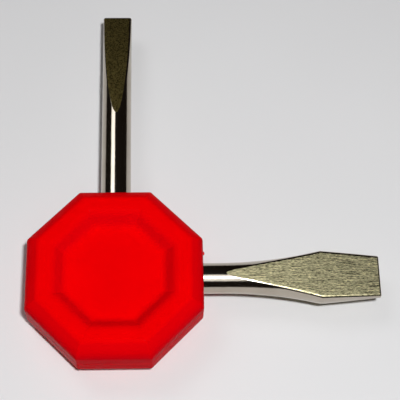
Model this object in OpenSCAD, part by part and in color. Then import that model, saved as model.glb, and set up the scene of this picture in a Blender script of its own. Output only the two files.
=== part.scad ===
// Offset screwdriver: two slotted blades set square to each other in an octagonal handle.
// The handle is two moulded halves, screwed together from below, that clamp the two round shanks.
// A cross pin through each shank lies in the parting plane and stops the blade turning or pulling out.
// The handle rests on z = 0, its centre is the origin, +X is the wide blade and +Y the narrow blade.

/* [Handle] */
// Width of the octagon across flats
handle_af = 38.6; // [35:0.1:46]
// Height of the straight side wall, both halves together
wall_h = 8.4; // [8:0.1:12]
// Width of the outer bevel, seen from above
bevel_w = 2.8; // [1.5:0.1:3]
// Rise of the outer bevel from the side wall to the raised ring
bevel_h = 2.85; // [1.8:0.05:3.5]
// Width of the flat raised ring
ring_w = 3.3; // [3:0.1:4.5]
// Width of the slope from the ring down to the centre panel
slope_w = 2.4; // [1:0.1:3]
// Plastic left between the centre panel and the shanks
panel_skin = 0.6; // [0.5:0.05:1.2]
// Thickness of the outer wall round the hollow under the ring
wall_t = 2.4; // [2:0.1:2.8]
// Thickness of the roof over the hollow under the ring
roof_t = 1.8; // [1.2:0.1:2.4]
// Thickness of the ribs across the hollow under the ring
rib_t = 1.2; // [0.8:0.1:2]
// Chamfer on each half's outer edge at the parting line
seam_chamfer = 0.25; // [0.1:0.05:0.5]
// Height of the tongue on the lower half
tongue_h = 0.8; // [0.5:0.1:1.2]
// Thickness of the tongue on the lower half
tongue_t = 1; // [0.7:0.1:1.3]

/* [Shafts] */
// Diameter of both round shafts
shaft_d = 6.75; // [6:0.05:7]
// How far the wide blade's shank runs past the handle's centre
wide_tail = 8; // [6:0.5:9]
// Plastic left between the end of the narrow shank and the wide shank
shank_wall = 1.6; // [1:0.1:2.5]
// Chamfer on the buried end of each shank
root_chamfer = 0.5; // [0.2:0.1:1]

/* [Narrow blade] */
// Length of the narrow blade outside the handle
narrow_exposed = 48.1; // [40:0.1:60]
// Distance from the handle's side to where the ground flats begin
narrow_flat_start = 20.5; // [15:0.5:26]
// Width of the narrow tip
narrow_tip_w = 6.7; // [5:0.05:6.9]
// Thickness of the narrow tip
narrow_tip_t = 1.2; // [0.8:0.1:1.6]
// Height of the crown along each flat
narrow_crown = 0.15; // [0.05:0.05:0.3]
// Length over which the sides run from the round shaft to the tip
narrow_side_l = 10; // [5:0.5:15]
// Corner radius of the narrow tip, seen from above
narrow_corner_r = 0.5; // [0.2:0.1:1]

/* [Wide blade] */
// Length of the wide blade outside the handle
wide_exposed = 39; // [34:0.1:50]
// Straight shaft between the handle and the flare
wide_neck = 3.7; // [2:0.1:6]
// Length of the keystone end, from its shoulder to the tip
wide_keystone_l = 13.1; // [10:0.1:16]
// Width over the shoulder of the keystone end
wide_shoulder_w = 11.7; // [10.5:0.1:13]
// Distance from the handle's side to where the ground flats begin
wide_flat_start = 5; // [4:0.1:8]
// Width of the wide tip
wide_tip_w = 9.5; // [8:0.1:10]
// Thickness of the wide tip
wide_tip_t = 1.6; // [1:0.1:2]
// Height of the crown along each flat
wide_crown = 0.25; // [0.05:0.05:0.4]
// Corner radius of the wide tip, seen from above
wide_corner_r = 0.3; // [0.1:0.1:0.6]

/* [Pins and screws] */
// Diameter of the cross pins
pin_d = 2.5; // [2:0.1:3]
// Length of the cross pins
pin_l = 11; // [9:0.5:12]
// Chamfer on the ends of the cross pins
pin_chamfer = 0.3; // [0.1:0.05:0.5]
// Plastic left between the cross pins and the screw holes, along each blade
pin_wall = 1.2; // [0.8:0.1:1.6]
// Outer diameter of the screw thread
screw_d = 2.5; // [2:0.1:2.8]
// Diameter of the screw head
screw_head_d = 4.4; // [4:0.1:4.6]
// Height of the screw head
screw_head_h = 1.5; // [1:0.1:1.6]
// Chamfer round the top of the screw head
screw_head_chamfer = 0.4; // [0.1:0.05:0.6]
// Thickness of the lower half clamped under each screw head
screw_clamp = 2.4; // [2:0.05:2.5]
// Thread length held in the upper half
screw_grip = 3.2; // [2.5:0.1:3.3]
// Plastic left between each screw hole and the shanks
screw_wall = 1; // [0.8:0.1:1.4]
// Width of the arms of the cross recess in the screw heads
cross_w = 0.6; // [0.4:0.05:0.8]
// Span of the cross recess in the screw heads
cross_span = 2.6; // [2:0.1:3]
// Depth of the cross recess in the screw heads
cross_depth = 0.9; // [0.5:0.1:1]

/* [Clearances] */
// Radial clearance round the shanks in the handle
shank_fit = 0.05; // [0.02:0.01:0.1]
// Radial clearance round the cross pins
pin_fit = 0.03; // [0.02:0.01:0.06]
// Clearance at each side and above the tongue
tongue_gap = 0.1; // [0.05:0.05:0.2]
// Clearance round the screws in the lower half and past their ends
screw_gap = 0.15; // [0.05:0.05:0.25]
// Radial clearance between the screws and the holes that they cut into
thread_gap = 0.02; // [0.01:0.01:0.05]

/* [Hidden] */
$fn = 96;
cut = 1;
sides = 8;
side_angle = 360 / sides;
arc_fn = 720;
corner_steps = 6;

handle_half = handle_af / 2;
half_t = wall_h / 2 + bevel_h;
seam_z = half_t;
ring_out = handle_half - bevel_w;
ring_in = ring_out - ring_w;
panel_half = ring_in - slope_w;
shaft_r = shaft_d / 2;
channel_r = shaft_r + shank_fit;
panel_z = channel_r + panel_skin;
hollow_out = handle_half - wall_t;
hollow_in = ring_in;
hollow_top = half_t - roof_t;
rebate_out = hollow_out + tongue_t + tongue_gap;

screw_hole_r = screw_d / 2 + screw_gap;
screw_place = channel_r + screw_wall + screw_hole_r;
pin_hole_r = pin_d / 2 + pin_fit;
pin_place = screw_place + screw_hole_r + pin_wall + pin_hole_r;
pin_groove = pin_l / 2 + pin_fit;
screw_corners = [for (x = [-1, 1], y = [-1, 1]) [x * screw_place, y * screw_place]];

narrow_root = shaft_r + shank_wall;
narrow_tip = handle_half + narrow_exposed;
narrow_flat = handle_half + narrow_flat_start;
wide_root = -wide_tail;
wide_tip = handle_half + wide_exposed;
wide_flat = handle_half + wide_flat_start;
wide_flare = handle_half + wide_neck;
wide_shoulder = wide_tip - wide_keystone_l;

// Radius of the round body whose chord at a flat of thickness t is w wide
function chord_r(w, t) = norm([w, t]) / 2;

// Radius of the arc that leaves a line tangentially and rises by rise over run
function tangent_r(run, rise) = (run * run + rise * rise) / (2 * rise);

// Rise of an arc of radius r, a distance run past the point where it leaves a line tangentially
function arc_rise(r, run) = r - sqrt(r * r - run * run);

// Radius of the arc over a chord with the given sag
function sag_r(chord, sag) = chord * chord / (8 * sag) + sag / 2;

// Octagonal solid with the same section on all sides: half_section lists [distance from the axis, height]
module octagon(half_section) {
    mirrored = [for (i = [len(half_section) - 1 : -1 : 0]) [-half_section[i][0], half_section[i][1]]];
    intersection_for (i = [1 : sides / 2])
        rotate([90, 0, i * side_angle])
            linear_extrude(2 * handle_af, center = true)
                polygon(concat(half_section, mirrored));
}

// Octagonal ring of rectangular section, given by its distances across half its flats
module octagon_ring(inner, outer, z0, z1) {
    difference() {
        octagon([[outer, z0], [outer, z1]]);
        octagon([[inner, z0 - cut], [inner, z1 + cut]]);
    }
}

// Round bar lying along +X from x0 to x1, in the parting plane
module bar_x(r, x0, x1) {
    translate([x0, 0, 0])
        rotate([0, 90, 0])
            cylinder(r = r, h = x1 - x0);
}

// The same bar along +Y
module bar_y(r, y0, y1) {
    rotate(90)
        bar_x(r, y0, y1);
}

// Ribs across the hollow, one at each corner of the octagon
module ribs() {
    for (i = [1 : sides])
        rotate((i - 0.5) * side_angle)
            translate([0, -rib_t / 2, -cut])
                cube([handle_af, rib_t, hollow_top + 2 * cut]);
}

// Hollow under the ring, between the ribs
module hollow() {
    difference() {
        octagon_ring(hollow_in, hollow_out, -cut, hollow_top);
        ribs();
    }
}

// What both halves are cut for: the two shanks and their cross pins
module shank_channels() {
    bar_x(channel_r, wide_root - shank_fit, handle_af);
    bar_y(channel_r, narrow_root - shank_fit, handle_af);
    translate([pin_place, 0, 0])
        bar_y(pin_hole_r, -pin_groove, pin_groove);
    translate([0, pin_place, 0])
        bar_x(pin_hole_r, -pin_groove, pin_groove);
}

// One half of the handle, with the parting plane at z = 0 and its ring at the top
module half_shell() {
    panel_depth = half_t - panel_z;
    difference() {
        octagon([
            [handle_half - seam_chamfer, 0],
            [handle_half, seam_chamfer],
            [handle_half, wall_h / 2],
            [ring_out, half_t]
        ]);
        octagon([[panel_half, panel_z], [ring_in + slope_w, half_t + panel_depth]]);
        hollow();
    }
}

module upper_shell() {
    color("red")
        translate([0, 0, seam_z])
            difference() {
                half_shell();
                octagon_ring(hollow_out - tongue_gap, rebate_out, -cut, tongue_h + tongue_gap);
                shank_channels();
                for (p = screw_corners)
                    translate([p[0], p[1], -cut])
                        cylinder(r = screw_d / 2 + thread_gap, h = screw_grip + screw_gap + cut);
            }
}

module lower_shell() {
    color("red")
        translate([0, 0, seam_z])
            difference() {
                union() {
                    mirror([0, 0, 1])
                        half_shell();
                    octagon_ring(hollow_out, hollow_out + tongue_t, -cut, tongue_h);
                }
                shank_channels();
                for (p = screw_corners)
                    translate([p[0], p[1], -half_t - cut]) {
                        cylinder(r = screw_hole_r, h = half_t + 2 * cut);
                        cylinder(r = screw_head_d / 2 + screw_gap, h = half_t + cut - screw_clamp);
                    }
            }
}

// Solid turned about the X axis from its child, a half section drawn by blade_section
module turned() {
    rotate([90, 0, 90])
        rotate_extrude()
            children();
}

// Half section of a turned solid: points lists [distance along, radius] from one end to the other
module blade_section(points) {
    polygon([for (p = points) [p[1], p[0]]]);
}

// Points of the buried end of a shank
function root_points(root) = [
    [root, 0],
    [root, shaft_r - root_chamfer],
    [root + root_chamfer, shaft_r]
];

// Points of the rounded corner and the end of a blade of radius r at its tip
function tip_points(tip, r, corner_r) = [
    for (i = [0 : corner_steps])
        let (a = 90 * i / corner_steps)
        [tip - corner_r * (1 - sin(a)), r - corner_r * (1 - cos(a))],
    [tip, 0]
];

// A cylinder across the blade whose wall passes through the flat's two ends, [along, height] each;
// a positive sag hollows the flat and a negative one crowns it
module grind_wheel(from, to, sag) {
    chord = norm(to - from);
    wheel_r = sag_r(chord, abs(sag));
    normal = [from[1] - to[1], to[0] - from[0]] / chord;
    centre = (from + to) / 2 + sign(sag) * (wheel_r - abs(sag)) * normal;
    translate([centre[0], 0, centre[1]])
        rotate([90, 0, 0])
            cylinder(r = wheel_r, h = 2 * wide_shoulder_w, center = true, $fn = arc_fn);
}

// What grinding takes off one face of a blade
module ground_off(from, to, sag) {
    if (sag > 0)
        grind_wheel(from, to, sag);
    else
        difference() {
            translate([from[0] - cut, -wide_shoulder_w, 0])
                cube([to[0] - from[0] + 2 * cut, 2 * wide_shoulder_w, wide_shoulder_w]);
            grind_wheel(from, to, sag);
        }
}

module ground_flats(from, to, sag) {
    ground_off(from, to, sag);
    mirror([0, 0, 1])
        ground_off(from, to, sag);
}

// Hole through a shank for its cross pin
module pin_hole() {
    translate([pin_place, 0, 0])
        bar_y(pin_hole_r, -shaft_d, shaft_d);
}

module narrow_blade() {
    tip_r = chord_r(narrow_tip_w, narrow_tip_t);
    color("dimgray")
        translate([0, 0, seam_z])
            rotate(90)
                difference() {
                    turned()
                        blade_section(concat(
                            root_points(narrow_root),
                            [[narrow_tip - narrow_side_l, shaft_r]],
                            tip_points(narrow_tip, tip_r, narrow_corner_r)
                        ));
                    ground_flats([narrow_flat, shaft_r], [narrow_tip, narrow_tip_t / 2], -narrow_crown);
                    pin_hole();
                }
}

module wide_blade() {
    tip_r = chord_r(wide_tip_w, wide_tip_t);
    shoulder_r = wide_shoulder_w / 2;
    flare_l = wide_shoulder - wide_flare;
    flare_r = tangent_r(flare_l, shoulder_r - shaft_r);
    taper = (shoulder_r - tip_r) / (wide_keystone_l - wide_corner_r);
    flat_r = shaft_r + arc_rise(flare_r, max(0, wide_flat - wide_flare));
    color("silver")
        translate([0, 0, seam_z])
            difference() {
                turned()
                    difference() {
                        blade_section(concat(
                            root_points(wide_root),
                            [[wide_flare, shaft_r], [wide_flare, shoulder_r + taper * flare_l]],
                            tip_points(wide_tip, tip_r, wide_corner_r)
                        ));
                        translate([shaft_r + flare_r, wide_flare])
                            circle(r = flare_r, $fn = arc_fn);
                    }
                ground_flats([wide_flat, flat_r], [wide_tip, wide_tip_t / 2], -wide_crown);
                pin_hole();
            }
}

// Cross pin along the X axis
module cross_pin() {
    r = pin_d / 2;
    end = pin_l / 2;
    turned()
        blade_section([
            [-end, 0],
            [-end, r - pin_chamfer],
            [-end + pin_chamfer, r],
            [end - pin_chamfer, r],
            [end, r - pin_chamfer],
            [end, 0]
        ]);
}

module narrow_blade_pin() {
    color("gray")
        translate([0, pin_place, seam_z])
            cross_pin();
}

module wide_blade_pin() {
    color("gray")
        translate([pin_place, 0, seam_z])
            rotate(90)
                cross_pin();
}

// One screw, its head underneath, with the clamped face at z = 0
module screw() {
    head_face_d = screw_head_d - 2 * screw_head_chamfer;
    difference() {
        union() {
            cylinder(d = screw_d, h = screw_clamp + screw_grip);
            translate([0, 0, screw_head_chamfer - screw_head_h])
                cylinder(d = screw_head_d, h = screw_head_h - screw_head_chamfer);
            translate([0, 0, -screw_head_h])
                cylinder(d1 = head_face_d, d2 = screw_head_d, h = screw_head_chamfer);
        }
        for (a = [0, 90])
            rotate(a)
                translate([-cross_span / 2, -cross_w / 2, -screw_head_h - cut])
                    cube([cross_span, cross_w, cross_depth + cut]);
    }
}

module shell_screws() {
    color("gray")
        for (p = screw_corners)
            translate([p[0], p[1], seam_z - screw_clamp])
                screw();
}

upper_shell();
lower_shell();
narrow_blade();
wide_blade();
narrow_blade_pin();
wide_blade_pin();
shell_screws();
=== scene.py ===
"""Looks of an offset screwdriver: handle halves, blades, pins, screws, floor, light and camera."""
import math

import bmesh
import bpy
from mathutils import Matrix, Vector

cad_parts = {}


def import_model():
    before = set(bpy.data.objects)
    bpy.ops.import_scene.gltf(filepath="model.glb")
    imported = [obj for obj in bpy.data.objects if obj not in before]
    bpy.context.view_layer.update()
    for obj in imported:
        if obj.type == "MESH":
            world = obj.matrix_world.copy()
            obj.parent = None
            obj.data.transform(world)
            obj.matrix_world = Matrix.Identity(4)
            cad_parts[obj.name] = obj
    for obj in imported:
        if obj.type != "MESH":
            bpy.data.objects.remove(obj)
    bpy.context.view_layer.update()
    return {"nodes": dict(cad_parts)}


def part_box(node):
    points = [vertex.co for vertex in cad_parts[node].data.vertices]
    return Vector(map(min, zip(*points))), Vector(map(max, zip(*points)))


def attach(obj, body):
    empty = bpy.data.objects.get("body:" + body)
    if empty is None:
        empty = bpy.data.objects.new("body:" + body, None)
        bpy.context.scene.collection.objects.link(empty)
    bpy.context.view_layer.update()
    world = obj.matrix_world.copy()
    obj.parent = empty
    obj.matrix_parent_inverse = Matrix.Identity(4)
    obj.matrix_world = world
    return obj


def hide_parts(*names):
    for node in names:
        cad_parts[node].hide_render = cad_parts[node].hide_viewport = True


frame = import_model()
nodes = frame["nodes"]

MM = 0.001
ALONG_X = Vector((1, 0, 0))
ALONG_Y = Vector((0, 1, 0))
UP = Vector((0, 0, 1))

# Places and sizes that the frame gives
upper_low, upper_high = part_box("upper_shell")
narrow_low, narrow_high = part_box("narrow_blade")
wide_low, wide_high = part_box("wide_blade")
pin_low, pin_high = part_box("narrow_blade_pin")
_, screws_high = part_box("shell_screws")
handle_half = upper_high.x
seam_z = upper_low.z
half_t = upper_high.z - seam_z
shaft_r = narrow_high.z - seam_z
narrow_root = narrow_low.y
narrow_tip = narrow_high.y
wide_root = wide_low.x
wide_tip = wide_high.x
shoulder_r = wide_high.y
pin_r = (pin_high.z - pin_low.z) / 2
pin_half_l = pin_high.x
pin_place = (pin_low.y + pin_high.y) / 2

# Section of the handle halves
WALL_HALF_H = 4.2 * MM
BEVEL_W = 2.8 * MM
BEVEL_CROWN = 0.1 * MM
RING_W = 3.3 * MM
SLOPE_W = 2.4 * MM
PANEL_DEPTH = 3.025 * MM
SEAM_GAP = 0.08 * MM
SEAM_DEPTH = 0.3 * MM
SEAM_ROUND = 0.04 * MM
WALL_ROUND = 3.6 * MM
CROWN_ROUND = 6.0 * MM
RING_OUT_ROUND = 1.8 * MM
RING_IN_ROUND = 2.6 * MM
PANEL_ROUND = 2.2 * MM
CORNER_ROUND = 0.7 * MM
CORNER_STEPS = 5
ROUND_STEPS = 8
OCTAGON = 8
SIDE_ANGLE = 2 * math.pi / OCTAGON
CORNER_ANGLE = SIDE_ANGLE / 2
NUB_PLACE = Vector((0, 5.7, 0.5)) * MM
NUB_HALF = Vector((0.4, 0.5, 0.4)) * MM
NUB_SEGMENTS = 24
NUB_RINGS = 16
ring_out = handle_half - BEVEL_W
ring_in = ring_out - RING_W
panel_half = ring_in - SLOPE_W
panel_z = half_t - PANEL_DEPTH

# Inside of the handle halves
WALL_T = 2.4 * MM
ROOF_T = 1.8 * MM
RIB_T = 1.2 * MM
TONGUE_H = 0.8 * MM
TONGUE_T = 1.0 * MM
TONGUE_GAP = 0.1 * MM
SHANK_FIT = 0.05 * MM
PIN_FIT = 0.03 * MM
CUT = 1.0 * MM
BAR_SIDES = 48
hollow_out = handle_half - WALL_T
hollow_top = half_t - ROOF_T
channel_r = shaft_r + SHANK_FIT
groove_r = pin_r + PIN_FIT
groove_l = pin_half_l + PIN_FIT

# Screws
SCREW_R = 1.25 * MM
SCREW_GAP = 0.15 * MM
THREAD_GAP = 0.02 * MM
SCREW_HEAD_R = 2.2 * MM
SCREW_CLAMP = 2.4 * MM
SCREW_GRIP = 3.2 * MM
SCREW_HEAD_H = 1.5 * MM
SCREW_HEAD_RIM = 0.5 * MM
SCREW_FACE_R = 1.5 * MM
SCREW_CORE_R = 0.85 * MM
SCREW_PITCH = 0.9 * MM
SCREW_POINT_L = 1.0 * MM
SCREW_POINT_SHARE = 0.6
THREAD_SHARE = 0.36
THREAD_RINGS = 10
THREAD_SIDES = 28
CROSS_START = 0.25 * MM
CROSS_DEPTH = 0.9 * MM
CROSS_TOP_SPAN = 2.6 * MM
CROSS_TOP_W = 0.62 * MM
CROSS_END_SPAN = 1.2 * MM
CROSS_END_W = 0.42 * MM
screw_place = screws_high.x - SCREW_HEAD_R
screw_places = [Vector((x * screw_place, y * screw_place, seam_z)) for x in (-1, 1) for y in (-1, 1)]

# Blades
ROOT_CHAMFER = 0.5 * MM
NARROW_FLAT = handle_half + 20.5 * MM
NARROW_SIDE_L = 10 * MM
NARROW_TIP_W = 6.7 * MM
NARROW_TIP_T = 1.2 * MM
NARROW_CROWN = 0.15 * MM
NARROW_CORNER = 0.5 * MM
NARROW_EDGE = 0.6 * MM
WIDE_FLAT = handle_half + 5 * MM
WIDE_FLARE = handle_half + 3.7 * MM
WIDE_SHOULDER = wide_tip - 13.1 * MM
WIDE_TIP_W = 9.5 * MM
WIDE_TIP_T = 1.6 * MM
WIDE_CROWN = 0.36 * MM
WIDE_CORNER = 0.3 * MM
WIDE_EDGE = 0.7 * MM
EDGE_SHARE = 0.8
END_ROUND = 0.38 * MM
WELD = 0.0004 * MM
ARC_POINTS = 18
EDGE_POINTS = 10
FLAT_POINTS = 8
FLAT_STATIONS = 44
FLAT_CROWDING = 2
END_STATIONS = 5

# Steps of the rounding on the two edges of a flat that are ground with it, and the two finishes of a blade
NARROW_GROUND = (0, 5)
WIDE_GROUND = (4, 0)
PLATED = 0
GROUND = 1

# Smooth shading
SHARP_ANGLE = math.radians(32)
FACE_WEIGHT = 100

# Noise in the materials, with counts per metre
NOISE_LOW = 0.3
NOISE_HIGH = 0.7
NOISE_ROUGHNESS = 0.55
PLAIN_DETAIL = 1.0
SOME_DETAIL = 2.0
FINE_DETAIL = 3.0

# Inputs and output of a colour mix node
MIX_FACTOR = 0
MIX_FIRST = 6
MIX_SECOND = 7
MIX_RESULT = 2

# Red plastic
RED_CLOUD = 120
RED_GRAIN = 5200
RED_FACE = (0.81, 0.0, 0.001, 1)
RED_FACE_BRIGHT = (0.86, 0.0, 0.001, 1)
# Darker red painted on the steep sides as shade
RED_PAINTED_STEEP_SHADE = (0.64, 0.0, 0.006, 1)
RED_ROUGHNESS = (0.16, 0.2)
RED_BUMP = 0.006 * MM
RED_GLOSS = 0.004
RED_GLOSS_TINT = (1.0, 0.4, 0.4, 1)
RED_IOR = 1.48

# Nickel plate
NARROW_DRAWN = (6000, 90, 6000)
WIDE_DRAWN = (90, 6000, 6000)
NICKEL_PITS = 3500
NICKEL_WAVES = 700
NICKEL_CLOUD = 160
NICKEL_DARK = (0.46, 0.41, 0.34, 1)
NICKEL_LIGHT = (0.53, 0.48, 0.41, 1)
NICKEL_ROUGHNESS = (0.11, 0.16)
NICKEL_LINE_BUMP = 0.002 * MM
NICKEL_PIT_BUMP = 0.0015 * MM
NICKEL_WAVE_BUMP = 0.003 * MM

# Ground flats
NARROW_STREAKS = (3200, 2800, 160)
NARROW_GRAINS = (4500, 4500, 4500)
NARROW_GRAIN_SHARE = 0.4
NARROW_DARK = (0.02, 0.015, 0.004, 1)
NARROW_LIGHT = (0.22, 0.172, 0.0565, 1)
NARROW_BUMP = 0.006 * MM
WIDE_STREAKS = (240, 6500, 100)
WIDE_GRAINS = (1400, 6000, 100)
WIDE_GRAIN_SHARE = 0.52
WIDE_DARK = (0.03, 0.026, 0.012, 1)
WIDE_LIGHT = (1.0, 0.93, 0.565, 1)
WIDE_BUMP = 0.008 * MM
MARK_ROUGHNESS = 0.7
MARK_LOW = 0.44
MARK_HIGH = 0.56
GROUND_GRIT = 7000
GROUND_ROUGHNESS = (0.4, 0.52)

# Zinc plate
ZINC_CLOUD = 900
ZINC_DARK = (0.5, 0.51, 0.52, 1)
ZINC_LIGHT = (0.62, 0.62, 0.61, 1)
ZINC_ROUGHNESS = (0.28, 0.42)
ZINC_BUMP = 0.004 * MM

# Paper floor, and the distances between which its far glow comes up
FLOOR_HALF = 3.0
PAPER_FIBRE = 2600
PAPER_CLOUD = 9
PAPER_DARK = (0.76, 0.76, 0.77, 1)
PAPER_LIGHT = (0.8, 0.8, 0.81, 1)
PAPER_ROUGHNESS = 0.85
PAPER_BUMP = 0.01 * MM
PAPER_GLOSS = 0.1
WHITE = (1.0, 1.0, 1.0, 1)
NEAR_FLOOR = 0.14
FAR_FLOOR = 0.75
FAR_GLOW = 0.62

# Room, and the heights on the unit sphere between which the glow of its horizon fades
ROOM_COLOUR = (1.0, 0.76, 0.58, 1)
ROOM_GLOW = 0.011
HORIZON_GLOW = 0.22
GLOW_TOP = 0.0
GLOW_END = 0.03

# Lamps, in metres and watts
FLASH_PLACE = (0.052, -0.096, 0.367)
FLASH_SIZE = (0.025, 0.025)
FLASH_POWER = 1.18
STRIP_PLACE = (0.045, -0.195, 0.6)
STRIP_SIZE = (0.09, 0.56)
STRIP_POWER = 0.23
WINDOW_PLACE = (-0.25, 0.29, 0.58)
WINDOW_SIZE = (0.29, 0.24)
WINDOW_POWER = 0.55

# Camera, with its turns in degrees and its lens and sensor in millimetres
CAMERA_PLACE = (10.18 * MM, -93.21 * MM, seam_z + 247.29 * MM)
CAMERA_TURN = (24.417, -1.519, -1.15)
CAMERA_LENS = 108
CAMERA_SENSOR = 36
CAMERA_NEAR = 0.01


def new_object(name, bm):
    """Object with the mesh built in bm, linked to the scene."""
    mesh = bpy.data.meshes.new(name)
    bmesh.ops.recalc_face_normals(bm, faces=bm.faces)
    bm.to_mesh(mesh)
    bm.free()
    obj = bpy.data.objects.new(name, mesh)
    bpy.context.scene.collection.objects.link(obj)
    return obj


def remove_object(obj):
    """Deletes an object and its mesh."""
    mesh = obj.data
    bpy.data.objects.remove(obj)
    bpy.data.meshes.remove(mesh)


def bake_modifiers(obj):
    """Replaces the object's mesh by the mesh that its modifiers make."""
    graph = bpy.context.evaluated_depsgraph_get()
    mesh = bpy.data.meshes.new_from_object(obj.evaluated_get(graph))
    obj.modifiers.clear()
    plain = obj.data
    obj.data = mesh
    bpy.data.meshes.remove(plain)


def carve(obj, cuts):
    """Carries out (operation, bmesh) pairs on the object, one after the other."""
    tools = []
    for operation, bm in cuts:
        tool = new_object("tool", bm)
        tools.append(tool)
        step = obj.modifiers.new("carve", "BOOLEAN")
        step.operation = operation
        step.solver = "EXACT"
        step.object = tool
    bake_modifiers(obj)
    for tool in tools:
        remove_object(tool)


def smooth(obj):
    """Smooth shading that keeps flat faces flat and steep edges sharp."""
    obj.data.shade_smooth()
    obj.data.set_sharp_from_angle(angle=SHARP_ANGLE)
    weighted = obj.modifiers.new("weighted normals", "WEIGHTED_NORMAL")
    weighted.keep_sharp = True
    weighted.weight = FACE_WEIGHT


def skin(bm, loops, close=True):
    """Quads between successive loops of vertices, with flat ends."""
    for a, b in zip(loops, loops[1:]):
        count = len(a)
        for i in range(count):
            j = (i + 1) % count
            bm.faces.new((a[i], a[j], b[j], b[i]))
    if close:
        bm.faces.new(loops[0])
        bm.faces.new(loops[-1])


def full_turn(count):
    """Angles of the given count of even steps round a circle."""
    return [2 * math.pi * i / count for i in range(count)]


def octagon_loop(half, corner_r=0.0):
    """Octagon with flats at the distance half from the axis, its corners rounded."""
    reach = (half - corner_r) / math.cos(CORNER_ANGLE)
    steps = CORNER_STEPS if corner_r else 0
    points = []
    for k in range(OCTAGON):
        corner = k * SIDE_ANGLE + CORNER_ANGLE
        centre = Vector((math.cos(corner), math.sin(corner))) * reach
        for i in range(steps + 1):
            a = k * SIDE_ANGLE + SIDE_ANGLE * i / max(steps, 1)
            points.append(centre + Vector((math.cos(a), math.sin(a))) * corner_r)
    return points


def rounded_path(corners):
    """Path through (point, radius) corners, with each inner corner of a radius turned into an arc."""
    path = [corners[0][0]]
    for (before, _), (at, radius), (after, _) in zip(corners, corners[1:], corners[2:]):
        if not radius:
            path.append(at)
            continue
        into = (before - at).normalized()
        out = (after - at).normalized()
        half = into.angle(out) / 2
        middle = (into + out).normalized()
        centre = at + middle * radius / math.sin(half)
        start = at + into * radius / math.tan(half) - centre
        sweep = start.angle_signed(at + out * radius / math.tan(half) - centre)
        for i in range(ROUND_STEPS + 1):
            a = -sweep * i / ROUND_STEPS
            turned = Vector((start.x * math.cos(a) - start.y * math.sin(a),
                             start.x * math.sin(a) + start.y * math.cos(a)))
            path.append(centre + turned)
    path.append(corners[-1][0])
    return path


def level_loop(bm, points, z):
    """Loop of vertices over a flat outline, at a height above the parting plane."""
    return [bm.verts.new((p.x, p.y, seam_z + z)) for p in points]


def prism(bm, points, z0, z1):
    """Upright prism over a flat outline, between two heights above the parting plane."""
    skin(bm, [level_loop(bm, points, z) for z in (z0, z1)])


def octagon_ring(inner, outer, z0, z1):
    """Octagonal ring of rectangular section."""
    bm = bmesh.new()
    rim = ((inner, z0), (outer, z0), (outer, z1), (inner, z1))
    loops = [level_loop(bm, octagon_loop(d), z) for d, z in rim]
    skin(bm, loops + loops[:1], close=False)
    return bm


def bar(bm, start, end, radius):
    """Round bar between two points."""
    along = (end - start).normalized()
    side = along.orthogonal().normalized()
    other = along.cross(side)
    loops = []
    for centre in (start, end):
        spokes = [math.cos(a) * side + math.sin(a) * other for a in full_turn(BAR_SIDES)]
        loops.append([bm.verts.new(centre + radius * spoke) for spoke in spokes])
    skin(bm, loops)


def single_bar(start, end, radius):
    """Round bar between two points, in a bmesh of its own."""
    bm = bmesh.new()
    bar(bm, Vector(start), Vector(end), radius)
    return bm


def screw_bars(radius, z0, z1):
    """Four upright bars at the places of the screws."""
    bm = bmesh.new()
    for place in screw_places:
        bar(bm, place + z0 * UP, place + z1 * UP, radius)
    return bm


def hollow_cutter(side):
    """The eight pockets under the ring, between the ribs, on one side of the parting plane."""
    bm = bmesh.new()
    for k in range(OCTAGON):
        a = k * SIDE_ANGLE
        out = Vector((math.cos(a), math.sin(a)))
        across = Vector((-math.sin(a), math.cos(a)))
        corners = []
        for d, sign in ((ring_in, -1), (hollow_out, -1), (hollow_out, 1), (ring_in, 1)):
            reach = d * math.tan(CORNER_ANGLE) - RIB_T / 2 / math.cos(CORNER_ANGLE)
            corners.append(out * d + across * reach * sign)
        prism(bm, corners, -side * CUT, side * hollow_top)
    return bm


def shank_cuts():
    """Channels for the two shanks and grooves for their cross pins, half of each in either shell."""
    past = 2 * handle_half
    bars = (
        ((wide_root - SHANK_FIT, 0, seam_z), (past, 0, seam_z), channel_r),
        ((0, narrow_root - SHANK_FIT, seam_z), (0, past, seam_z), channel_r),
        ((-groove_l, pin_place, seam_z), (groove_l, pin_place, seam_z), groove_r),
        ((pin_place, -groove_l, seam_z), (pin_place, groove_l, seam_z), groove_r),
    )
    return [("DIFFERENCE", single_bar(start, end, radius)) for start, end, radius in bars]


def shell_body(name, side):
    """Outside of one half of the handle: side 1 is the upper half and -1 the lower one."""
    bevel_foot = Vector((handle_half, WALL_HALF_H))
    bevel_top = Vector((ring_out, half_t))
    bevel_out = Vector((half_t - WALL_HALF_H, BEVEL_W)).normalized()
    path = rounded_path([
        (Vector((handle_half - SEAM_DEPTH, 0)), 0),
        (Vector((handle_half - SEAM_DEPTH, SEAM_GAP)), 0),
        (Vector((handle_half, SEAM_GAP)), SEAM_ROUND),
        (bevel_foot, WALL_ROUND),
        ((bevel_foot + bevel_top) / 2 + BEVEL_CROWN * bevel_out, CROWN_ROUND),
        (bevel_top, RING_OUT_ROUND),
        (Vector((ring_in, half_t)), RING_IN_ROUND),
        (Vector((panel_half, panel_z)), PANEL_ROUND),
        (Vector((panel_half - 2 * PANEL_ROUND, panel_z)), 0),
    ])
    bm = bmesh.new()
    skin(bm, [level_loop(bm, octagon_loop(p.x, CORNER_ROUND), side * p.y) for p in path])
    return new_object(name, bm)


def moulding_nub():
    """Small gate mark on the side that the wide blade comes out of."""
    bm = bmesh.new()
    bmesh.ops.create_uvsphere(bm, u_segments=NUB_SEGMENTS, v_segments=NUB_RINGS, radius=1.0)
    place = Matrix.Translation(Vector((handle_half, 0, seam_z)) + NUB_PLACE)
    bmesh.ops.transform(bm, matrix=place @ Matrix.Diagonal((*NUB_HALF, 1)), verts=bm.verts)
    return bm


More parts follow.
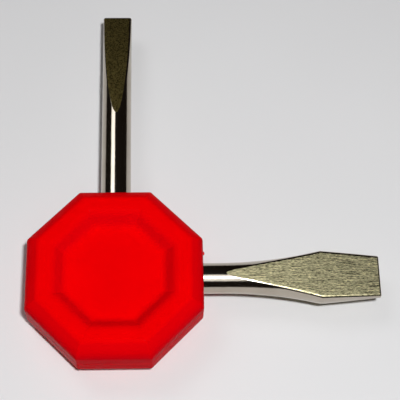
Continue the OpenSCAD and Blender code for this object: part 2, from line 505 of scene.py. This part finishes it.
def upper_shell():
    """Upper half of the handle, with the groove for the tongue and the holes that the screws cut into."""
    shell = shell_body("handle_upper_half", 1)
    groove = octagon_ring(hollow_out - TONGUE_GAP, hollow_out + TONGUE_T + TONGUE_GAP,
                          -CUT, TONGUE_H + TONGUE_GAP)
    carve(shell, [
        ("UNION", moulding_nub()),
        ("DIFFERENCE", hollow_cutter(1)),
        ("DIFFERENCE", groove),
        ("DIFFERENCE", screw_bars(SCREW_R + THREAD_GAP, -CUT, SCREW_GRIP + SCREW_GAP)),
        *shank_cuts(),
    ])
    return shell


def lower_shell():
    """Lower half of the handle, with the tongue and the counterbored holes of the screws."""
    shell = shell_body("handle_lower_half", -1)
    carve(shell, [
        ("DIFFERENCE", hollow_cutter(-1)),
        ("UNION", octagon_ring(hollow_out, hollow_out + TONGUE_T, -CUT, TONGUE_H)),
        ("DIFFERENCE", screw_bars(SCREW_R + SCREW_GAP, -2 * half_t, half_t)),
        ("DIFFERENCE", screw_bars(SCREW_HEAD_R + SCREW_GAP, -2 * half_t, -SCREW_CLAMP)),
        *shank_cuts(),
    ])
    return shell


def blade_section(radius, height, edge, ground):
    """Outline of a round bar with two flats at the given height, as (across, up, ground) points.

    The third value says whether the face that starts at the point is ground.
    """
    height = min(height, radius)
    edge = min(edge, EDGE_SHARE * height)
    flat = math.sqrt(max((radius - edge) ** 2 - (height - edge) ** 2, 0))
    turn = math.atan2(flat, height - edge)
    half = []
    for i in range(ARC_POINTS):
        a = math.pi / 2 + (turn - math.pi / 2) * i / ARC_POINTS
        half.append((radius * math.sin(a), radius * math.cos(a), False))
    for i in range(EDGE_POINTS):
        a = turn * (1 - i / EDGE_POINTS)
        up = height - edge + edge * math.cos(a)
        half.append((flat + edge * math.sin(a), up, i >= EDGE_POINTS - ground[0]))
    for i in range(FLAT_POINTS):
        half.append((flat * (1 - 2 * i / FLAT_POINTS), height, True))
    for i in range(EDGE_POINTS):
        a = turn * i / EDGE_POINTS
        up = height - edge + edge * math.cos(a)
        half.append((-flat - edge * math.sin(a), up, i < ground[1]))
    for i in range(ARC_POINTS):
        a = turn + (math.pi / 2 - turn) * i / ARC_POINTS
        half.append((-radius * math.sin(a), radius * math.cos(a), False))
    return half + [(-a, -z, on) for a, z, on in half]


def blade(name, stations, radius, height, edge, ground, along, across, materials):
    """Blade lofted through its stations; radius and height give its round body and its flats at each."""
    bm = bmesh.new()
    loops = []
    on_flat = []
    tip = stations[-1]
    for s in stations:
        inset = 0.0
        if s > tip - END_ROUND:
            inset = END_ROUND - math.sqrt(max(END_ROUND ** 2 - (s - tip + END_ROUND) ** 2, 0))
        outline = blade_section(radius(s), height(s) - inset, edge, ground)
        loops.append([bm.verts.new(s * along + a * across + (seam_z + z) * UP) for a, z, _ in outline])
        on_flat = [on for _, _, on in outline]
    count = len(on_flat)
    for s, a, b in zip(stations, loops, loops[1:]):
        plated_end = s > tip - END_ROUND - WELD
        for i in range(count):
            j = (i + 1) % count
            face = bm.faces.new((a[i], a[j], b[j], b[i]))
            face.material_index = GROUND if on_flat[i] and not plated_end else PLATED
    bm.faces.new(loops[0])
    bm.faces.new(loops[-1]).material_index = GROUND
    bmesh.ops.remove_doubles(bm, verts=bm.verts, dist=WELD)
    bmesh.ops.dissolve_degenerate(bm, edges=bm.edges, dist=WELD)
    obj = new_object(name, bm)
    for material in materials:
        obj.data.materials.append(material)
    hole = single_bar(pin_place * along - shaft_r * 2 * across + seam_z * UP,
                      pin_place * along + shaft_r * 2 * across + seam_z * UP, groove_r)
    carve(obj, [("DIFFERENCE", hole)])
    return obj


def ramp(start, end, count, power=1.0):
    """Numbers from start to end, closer together near the start where the power is above 1."""
    return [start + (end - start) * (i / count) ** power for i in range(count + 1)]


def round_corner(tip, tip_r, corner):
    """Radius of a blade over the rounded corner at its tip."""
    return lambda s: tip_r - corner + math.sqrt(max(corner ** 2 - (s - tip + corner) ** 2, 0))


def root_radius(root):
    """Radius of a shaft that is chamfered at its root."""
    return lambda s: shaft_r - max(0, ROOT_CHAMFER - (s - root))


def ground_height(start, end, crown):
    """Height of a slightly crowned flat, a large arc through two (along, height) points."""
    chord = (end - start).length
    arc_r = chord ** 2 / (8 * crown) + crown / 2
    normal = Vector((start.y - end.y, end.x - start.x)) / chord
    centre = (start + end) / 2 - (arc_r - crown) * normal
    return lambda s: centre.y + math.sqrt(arc_r ** 2 - (s - centre.x) ** 2)


def tip_stations(tip, corner):
    """Stations over the rounded corner and the rounded end of a tip."""
    corner_arc = [tip - corner * (1 - math.sin(a)) for a in ramp(0, math.pi / 2, 2 * END_STATIONS)]
    end_arc = [tip - END_ROUND * (1 - math.sin(a)) for a in ramp(0, math.pi / 2, END_STATIONS)]
    return sorted(set(corner_arc[1:] + end_arc))


def narrow_blade(materials):
    """Narrow blade, whose sides draw in slightly to the tip."""
    tip_r = math.hypot(NARROW_TIP_W, NARROW_TIP_T) / 2
    side = narrow_tip - NARROW_SIDE_L
    corner = narrow_tip - NARROW_CORNER
    flat_start = Vector((NARROW_FLAT, shaft_r))
    ground = ground_height(flat_start, Vector((narrow_tip, NARROW_TIP_T / 2)), NARROW_CROWN)
    root = root_radius(narrow_root)
    corner_r = round_corner(narrow_tip, tip_r, NARROW_CORNER)

    def radius(s):
        if s < side:
            return root(s)
        if s < corner:
            return shaft_r + (tip_r - shaft_r) * (s - side) / (corner - side)
        return corner_r(s)

    def height(s):
        return ground(s) if s > NARROW_FLAT else shaft_r

    stations = [narrow_root, narrow_root + ROOT_CHAMFER, handle_half, (handle_half + NARROW_FLAT) / 2]
    stations += ramp(NARROW_FLAT, corner, FLAT_STATIONS, FLAT_CROWDING) + [side]
    stations = sorted(stations + tip_stations(narrow_tip, NARROW_CORNER))
    return blade("narrow_blade_steel", stations, radius, height, NARROW_EDGE, NARROW_GROUND,
                 ALONG_Y, ALONG_X, materials)


def wide_blade(materials):
    """Wide blade, which flares to its shoulders and draws in to the tip."""
    tip_r = math.hypot(WIDE_TIP_W, WIDE_TIP_T) / 2
    run = WIDE_SHOULDER - WIDE_FLARE
    rise = shoulder_r - shaft_r
    flare_r = (run ** 2 + rise ** 2) / (2 * rise)
    corner = wide_tip - WIDE_CORNER
    root = root_radius(wide_root)
    corner_r = round_corner(wide_tip, tip_r, WIDE_CORNER)

    def radius(s):
        if s < WIDE_FLARE:
            return root(s)
        if s < WIDE_SHOULDER:
            return shaft_r + flare_r - math.sqrt(flare_r ** 2 - (s - WIDE_FLARE) ** 2)
        if s < corner:
            return shoulder_r + (tip_r - shoulder_r) * (s - WIDE_SHOULDER) / (corner - WIDE_SHOULDER)
        return corner_r(s)

    flat_start = Vector((WIDE_FLAT, radius(WIDE_FLAT)))
    ground = ground_height(flat_start, Vector((wide_tip, WIDE_TIP_T / 2)), WIDE_CROWN)

    def height(s):
        return ground(s) if s > WIDE_FLAT else radius(s)

    stations = [wide_root, wide_root + ROOT_CHAMFER, handle_half, WIDE_FLARE]
    stations += ramp(WIDE_FLAT, corner, FLAT_STATIONS, FLAT_CROWDING) + [WIDE_SHOULDER]
    stations = sorted(stations + tip_stations(wide_tip, WIDE_CORNER))
    return blade("wide_blade_steel", stations, radius, height, WIDE_EDGE, WIDE_GROUND,
                 ALONG_X, -ALONG_Y, materials)


def cross_cutter(turned):
    """One tapered bar of the cross recess, from below the head's face into it."""
    bm = bmesh.new()
    loops = []
    for z, span, width in ((-SCREW_HEAD_H - CROSS_START, CROSS_TOP_SPAN, CROSS_TOP_W),
                           (-SCREW_HEAD_H, CROSS_TOP_SPAN, CROSS_TOP_W),
                           (CROSS_DEPTH - SCREW_HEAD_H, CROSS_END_SPAN, CROSS_END_W)):
        size = (width / 2, span / 2) if turned else (span / 2, width / 2)
        corners = ((-1, -1), (1, -1), (1, 1), (-1, 1))
        loops.append([bm.verts.new((x * size[0], y * size[1], z)) for x, y in corners])
    skin(bm, loops)
    return bm


def thread_radius(z, turn, length):
    """Radius of a thread-cutting screw, a height z above its head and a turn round its axis."""
    phase = (z / SCREW_PITCH - turn / (2 * math.pi)) % 1
    ridge = max(0, 1 - abs(phase - 0.5) / (THREAD_SHARE / 2))
    point = min(1, (length - z) / SCREW_POINT_L)
    core = SCREW_POINT_SHARE + (1 - SCREW_POINT_SHARE) * point
    return core * SCREW_CORE_R + (SCREW_R - SCREW_CORE_R) * ridge * point


def single_screw():
    """Pan-head screw along +Z, with the face that clamps at z = 0 and a cross recess underneath."""
    bm = bmesh.new()
    length = SCREW_CLAMP + SCREW_GRIP
    turns = full_turn(THREAD_SIDES)
    dome = SCREW_HEAD_H - SCREW_HEAD_RIM
    profile = []
    for i in range(ROUND_STEPS + 1):
        a = math.pi / 2 * i / ROUND_STEPS
        reach = SCREW_FACE_R + (SCREW_HEAD_R - SCREW_FACE_R) * math.sin(a)
        profile.append((reach, -SCREW_HEAD_RIM - dome * math.cos(a)))
    profile += [(SCREW_HEAD_R, 0), (SCREW_CORE_R, 0)]
    loops = [[bm.verts.new((r * math.cos(a), r * math.sin(a), z)) for a in turns] for r, z in profile]
    rings = round(length / SCREW_PITCH * THREAD_RINGS)
    for i in range(1, rings + 1):
        z = length * i / rings
        loop = []
        for a in turns:
            r = thread_radius(z, a, length)
            loop.append(bm.verts.new((r * math.cos(a), r * math.sin(a), z)))
        loops.append(loop)
    skin(bm, loops)
    screw = new_object("screw", bm)
    carve(screw, [("DIFFERENCE", cross_cutter(False)), ("DIFFERENCE", cross_cutter(True))])
    return screw


def screws():
    """The four screws as one piece, driven from below."""
    pattern = single_screw()
    bm = bmesh.new()
    for place in screw_places:
        first = len(bm.verts)
        bm.from_mesh(pattern.data)
        bm.verts.ensure_lookup_table()
        bmesh.ops.translate(bm, vec=place - SCREW_CLAMP * UP, verts=bm.verts[first:])
    remove_object(pattern)
    return new_object("shell_screws_steel", bm)


class Shader:
    """A material's node tree with its Principled shader."""

    def __init__(self, name):
        self.material = bpy.data.materials.new(name)
        self.material.use_nodes = True
        self.tree = self.material.node_tree
        self.shader = self.tree.nodes["Principled BSDF"]

    def join(self, socket, value):
        """Links a socket to another node's output, or sets it to a plain value."""
        if isinstance(value, bpy.types.NodeSocket):
            self.tree.links.new(value, socket)
        else:
            socket.default_value = value

    def put(self, node, **inputs):
        """Joins a node's inputs, which are named with _ for each space."""
        for key, value in inputs.items():
            self.join(node.inputs[key.replace("_", " ")], value)

    def add(self, kind, **inputs):
        """New node with its inputs joined."""
        node = self.tree.nodes.new(kind)
        self.put(node, **inputs)
        return node

    def set(self, **inputs):
        """Joins inputs of the Principled shader."""
        self.put(self.shader, **inputs)

    def calculate(self, operation, *values):
        """Result of a Math node."""
        node = self.add("ShaderNodeMath")
        node.operation = operation
        for socket, value in zip(node.inputs, values):
            self.join(socket, value)
        return node.outputs["Value"]

    def place(self):
        """Object coordinates, in metres."""
        return self.add("ShaderNodeTexCoord").outputs["Object"]

    def noise(self, counts, detail, roughness=NOISE_ROUGHNESS):
        """Noise from 0 to 1 with the given counts per metre along each axis."""
        scaled = self.add("ShaderNodeMapping", Vector=self.place(), Scale=counts).outputs["Vector"]
        node = self.add("ShaderNodeTexNoise", Vector=scaled, Scale=1.0, Detail=detail, Roughness=roughness)
        return node.outputs["Fac"]

    def span(self, value, low, high, start=NOISE_LOW, end=NOISE_HIGH):
        """Maps a value that runs from start to end onto the range from low to high."""
        node = self.add("ShaderNodeMapRange", Value=value,
                        From_Min=start, From_Max=end, To_Min=low, To_Max=high)
        return node.outputs["Result"]

    def mix(self, factor, first, second):
        """Colour between two colours."""
        node = self.add("ShaderNodeMix")
        node.data_type = "RGBA"
        for index, value in ((MIX_FACTOR, factor), (MIX_FIRST, first), (MIX_SECOND, second)):
            self.join(node.inputs[index], value)
        return node.outputs[MIX_RESULT]

    def bump(self, value, depth, normal=None):
        """Normal of a surface with the given relief, on top of another normal where there is one."""
        node = self.add("ShaderNodeBump", Height=value, Strength=1.0, Distance=depth)
        if normal is not None:
            self.put(node, Normal=normal)
        return node.outputs["Normal"]


def even(count):
    """The same count along each axis."""
    return (count, count, count)


def red_plastic():
    """Satin red moulding with a faint spark-eroded grain, with shade painted darker on its steep sides."""
    s = Shader("red_plastic")
    cloud = s.noise(even(RED_CLOUD), SOME_DETAIL)
    grain = s.noise(even(RED_GRAIN), SOME_DETAIL)
    # Painted shade: the base colour runs to a darker red as the true normal tips from upright to level
    normal = s.add("ShaderNodeNewGeometry").outputs["True Normal"]
    rise = s.add("ShaderNodeSeparateXYZ", Vector=normal).outputs["Z"]
    level = s.calculate("ABSOLUTE", rise)
    face = s.mix(s.span(cloud, 0, 1), RED_FACE, RED_FACE_BRIGHT)
    s.set(
        Base_Color=s.mix(level, RED_PAINTED_STEEP_SHADE, face),
        Roughness=s.span(cloud, *RED_ROUGHNESS),
        Normal=s.bump(grain, RED_BUMP),
        Specular_IOR_Level=RED_GLOSS,
        Specular_Tint=RED_GLOSS_TINT,
        IOR=RED_IOR,
    )
    return s.material


def nickel(name, drawn):
    """Bright plate with fine draw lines; drawn gives their noise counts along each axis."""
    s = Shader(name)
    lines = s.noise(drawn, FINE_DETAIL)
    pits = s.noise(even(NICKEL_PITS), SOME_DETAIL)
    waves = s.noise(even(NICKEL_WAVES), PLAIN_DETAIL)
    cloud = s.noise(even(NICKEL_CLOUD), SOME_DETAIL)
    relief = s.bump(pits, NICKEL_PIT_BUMP, s.bump(lines, NICKEL_LINE_BUMP))
    s.set(
        Base_Color=s.mix(s.span(cloud, 0, 1), NICKEL_DARK, NICKEL_LIGHT),
        Roughness=s.span(lines, *NICKEL_ROUGHNESS),
        Normal=s.bump(waves, NICKEL_WAVE_BUMP, relief),
        Metallic=1.0,
    )
    return s.material


def ground_steel(name, streaks, grains, share, dark, light, depth):
    """Matt ground flat of long streaks and short grains, each with its noise counts along each axis.

    The share is that of the grains in its colour, and the depth that of its relief.
    """
    s = Shader(name)
    lines = s.noise(streaks, FINE_DETAIL, MARK_ROUGHNESS)
    specks = s.noise(grains, FINE_DETAIL, MARK_ROUGHNESS)
    grit = s.noise(even(GROUND_GRIT), SOME_DETAIL)
    long_marks = s.mix(s.span(lines, 0, 1, MARK_LOW, MARK_HIGH), dark, light)
    short_marks = s.mix(s.span(specks, 0, 1, MARK_LOW, MARK_HIGH), dark, light)
    s.set(
        Base_Color=s.mix(share, long_marks, short_marks),
        Roughness=s.span(grit, *GROUND_ROUGHNESS),
        Normal=s.bump(lines, depth, s.bump(grit, depth / 2)),
        Metallic=1.0,
    )
    return s.material


def zinc(name):
    """Zinc-plated steel of the pins and screws."""
    s = Shader(name)
    cloud = s.noise(even(ZINC_CLOUD), FINE_DETAIL)
    s.set(
        Base_Color=s.mix(s.span(cloud, 0, 1), ZINC_DARK, ZINC_LIGHT),
        Roughness=s.span(cloud, *ZINC_ROUGHNESS),
        Normal=s.bump(cloud, ZINC_BUMP),
        Metallic=1.0,
    )
    return s.material


def paper():
    """White paper whose far parts, out of the lamps' reach, stay pale to the eye and in reflections."""
    s = Shader("white_paper")
    fibre = s.noise(even(PAPER_FIBRE), FINE_DETAIL)
    cloud = s.noise(even(PAPER_CLOUD), SOME_DETAIL)
    away = s.add("ShaderNodeVectorMath", Vector=s.place())
    away.operation = "LENGTH"
    far = s.span(away.outputs["Value"], 0, FAR_GLOW, NEAR_FLOOR, FAR_FLOOR)
    ray = s.add("ShaderNodeLightPath").outputs
    seen = s.calculate("MAXIMUM", ray["Is Camera Ray"], ray["Is Glossy Ray"])
    seen = s.calculate("MAXIMUM", seen, ray["Is Transmission Ray"])
    s.set(
        Base_Color=s.mix(s.span(cloud, 0, 1), PAPER_DARK, PAPER_LIGHT),
        Roughness=PAPER_ROUGHNESS,
        Normal=s.bump(fibre, PAPER_BUMP),
        Specular_IOR_Level=PAPER_GLOSS,
        Emission_Color=WHITE,
        Emission_Strength=s.calculate("MULTIPLY", seen, far),
    )
    return s.material


def dress(obj, node, material=None):
    """Gives a piece its material where one is given, smooth shading and its place on the body, and hides
    its CAD node.
    """
    if material:
        obj.data.materials.clear()
        obj.data.materials.append(material)
    smooth(obj)
    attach(obj, "root")
    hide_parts(node)


def floor():
    """Plain paper floor that the tool lies on."""
    bm = bmesh.new()
    corners = ((-1, -1), (1, -1), (1, 1), (-1, 1))
    bm.faces.new([bm.verts.new((x * FLOOR_HALF, y * FLOOR_HALF, 0)) for x, y in corners])
    obj = new_object("floor", bm)
    obj.data.materials.append(paper())


def camera():
    """Camera at the photograph's viewing angle."""
    data = bpy.data.cameras.new("camera")
    data.sensor_width = CAMERA_SENSOR
    data.lens = CAMERA_LENS
    data.clip_start = CAMERA_NEAR
    obj = bpy.data.objects.new("camera", data)
    obj.location = CAMERA_PLACE
    obj.rotation_euler = [math.radians(a) for a in CAMERA_TURN]
    bpy.context.scene.collection.objects.link(obj)
    bpy.context.scene.camera = obj


def lamp(name, place, size, power):
    """Soft rectangular lamp aimed at the handle, with its width along X as nearly as the aim allows."""
    data = bpy.data.lights.new(name, "AREA")
    data.shape = "RECTANGLE"
    data.size, data.size_y = size
    data.energy = power
    obj = bpy.data.objects.new(name, data)
    obj.location = place
    back = Vector(place).normalized()
    up = back.cross(ALONG_X).normalized()
    obj.rotation_euler = Matrix((up.cross(back), up, back)).transposed().to_euler()
    bpy.context.scene.collection.objects.link(obj)


def world():
    """Dim warm room with a paler band along the horizon."""
    made = bpy.data.worlds.new("room")
    made.use_nodes = True
    tree = made.node_tree
    sky = tree.nodes["Background"]
    direction = tree.nodes.new("ShaderNodeTexCoord").outputs["Generated"]
    height = tree.nodes.new("ShaderNodeSeparateXYZ")
    tree.links.new(direction, height.inputs["Vector"])
    band = tree.nodes.new("ShaderNodeMapRange")
    band.inputs["From Min"].default_value = GLOW_TOP
    band.inputs["From Max"].default_value = GLOW_END
    band.inputs["To Min"].default_value = HORIZON_GLOW
    band.inputs["To Max"].default_value = ROOM_GLOW
    tree.links.new(height.outputs["Z"], band.inputs["Value"])
    tree.links.new(band.outputs["Result"], sky.inputs["Strength"])
    sky.inputs["Color"].default_value = ROOM_COLOUR
    bpy.context.scene.world = made


# Pieces of the tool
plastic = red_plastic()
dress(upper_shell(), "upper_shell", plastic)
dress(lower_shell(), "lower_shell", plastic)
narrow_metals = [
    nickel("nickel_narrow", NARROW_DRAWN),
    ground_steel("ground_narrow", NARROW_STREAKS, NARROW_GRAINS, NARROW_GRAIN_SHARE,
                 NARROW_DARK, NARROW_LIGHT, NARROW_BUMP),
]
wide_metals = [
    nickel("nickel_wide", WIDE_DRAWN),
    ground_steel("ground_wide", WIDE_STREAKS, WIDE_GRAINS, WIDE_GRAIN_SHARE,
                 WIDE_DARK, WIDE_LIGHT, WIDE_BUMP),
]
dress(narrow_blade(narrow_metals), "narrow_blade")
dress(wide_blade(wide_metals), "wide_blade")
steel = zinc("zinc_plate")
dress(screws(), "shell_screws", steel)
for fastener in ("narrow_blade_pin", "wide_blade_pin"):
    nodes[fastener].data.materials.clear()
    nodes[fastener].data.materials.append(steel)

# Floor, camera and light
floor()
camera()
lamp("flash", FLASH_PLACE, FLASH_SIZE, FLASH_POWER)
lamp("strip", STRIP_PLACE, STRIP_SIZE, STRIP_POWER)
lamp("window", WINDOW_PLACE, WINDOW_SIZE, WINDOW_POWER)
world()
bpy.context.scene.view_settings.view_transform = "Standard"
